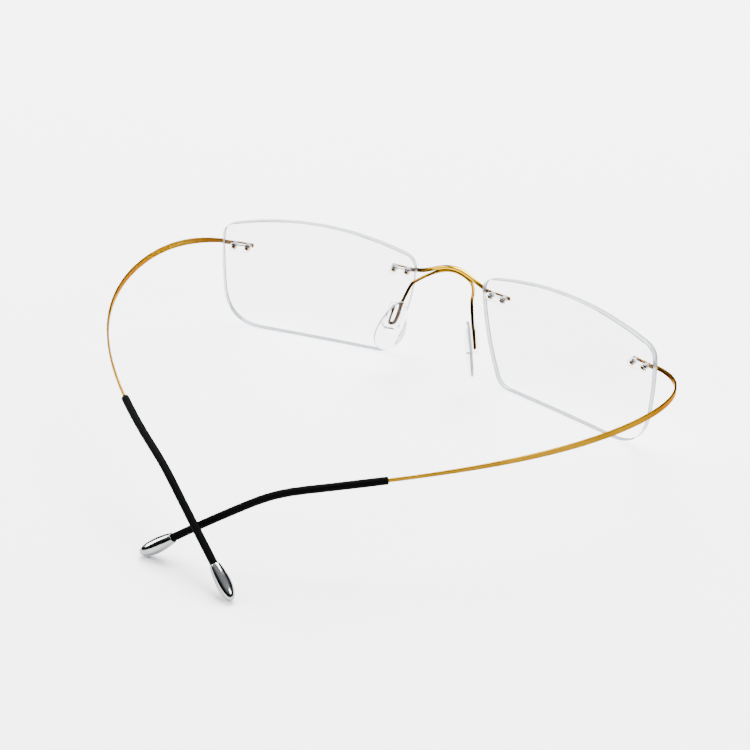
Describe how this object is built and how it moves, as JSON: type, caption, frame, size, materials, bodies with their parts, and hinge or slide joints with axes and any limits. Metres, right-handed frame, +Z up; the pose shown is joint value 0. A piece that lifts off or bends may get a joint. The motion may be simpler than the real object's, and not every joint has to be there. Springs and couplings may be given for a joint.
{
  "type": "rimless eyeglasses",
  "caption": "Rimless eyeglasses with drilled clear lenses, a gold arched bridge, clear nose pads, springy strip temples, black sleeves and silver end caps.",
  "frame": {"origin": "on the surface the glasses stand on, in the mirror plane of the lenses, halfway between the front of the bridge and the rearmost end cap", "axes": "+X to the wearer's left, +Y from the lenses back along the temples, +Z up from the surface the lower lens edges and the end caps rest on"},
  "size_m": [0.1416, 0.1164, 0.0314],
  "materials": {
    "clear_lens": "clear polished plastic lens",
    "clear_plug": "clear moulded plastic",
    "clear_silicone": "clear soft silicone",
    "gold_plate": "polished gold plating over titanium",
    "gold_wire": "polished gold plating over titanium",
    "gold_pin": "gold plating over titanium",
    "gold_strip": "satin gold plating over titanium",
    "black_sleeve": "matt soft-touch sleeve",
    "silver_cap": "polished silver plating"
  },
  "bodies": {
    "front": {"lens_left": "clear_lens", "lens_right": "clear_lens", "bridge_bar": "gold_plate", "pad_arm_wire": "gold_wire", "temple_plug_left": "clear_plug", "temple_plug_right": "clear_plug", "bridge_plug_left": "clear_plug", "bridge_plug_right": "clear_plug", "temple_pin_left_inner": "gold_pin", "temple_pin_left_outer": "gold_pin", "temple_pin_right_inner": "gold_pin", "temple_pin_right_outer": "gold_pin", "bridge_pin_left_inner": "gold_pin", "bridge_pin_left_outer": "gold_pin", "bridge_pin_right_inner": "gold_pin", "bridge_pin_right_outer": "gold_pin", "temple_bow_left": "gold_strip", "temple_bow_right": "gold_strip"},
    "temple_left": {"temple_arm_left": "gold_strip", "sleeve_left": "black_sleeve", "end_cap_left": "silver_cap"},
    "temple_right": {"temple_arm_right": "gold_strip", "sleeve_right": "black_sleeve", "end_cap_right": "silver_cap"},
    "pad_left": {"nose_pad_left": "clear_silicone"},
    "pad_right": {"nose_pad_right": "clear_silicone"}
  },
  "joints": [
    {"name": "temple_left_flex", "type": "hinge", "parent": "front", "child": "temple_left", "pos_m": [0.06842, -0.02854, 0.0233], "axis": [0, 0, -1], "range_deg": [0, 40], "stiffness_Nm_per_rad": 0.11, "deforming": ["temple_bow_left"]},
    {"name": "temple_right_flex", "type": "hinge", "parent": "front", "child": "temple_right", "pos_m": [-0.06767, -0.02843, 0.0233], "axis": [0, 0, 1], "range_deg": [0, 36], "stiffness_Nm_per_rad": 0.11, "deforming": ["temple_bow_right"]},
    {"name": "nose_pad_left_rock", "type": "hinge", "parent": "front", "child": "pad_left", "pos_m": [0.01115, -0.04779, 0.01572], "axis": [0.239, 0.235, -0.9421], "range_deg": [-8, 8], "stiffness_Nm_per_rad": 0.0005},
    {"name": "nose_pad_right_rock", "type": "hinge", "parent": "front", "child": "pad_right", "pos_m": [-0.01115, -0.04779, 0.01572], "axis": [-0.239, 0.235, -0.9421], "range_deg": [-8, 8], "stiffness_Nm_per_rad": 0.0005}
  ],
  "couplings": [
    {"joint": "temple_right_flex", "follows": "temple_left_flex", "ratio": 0.9}
  ]
}
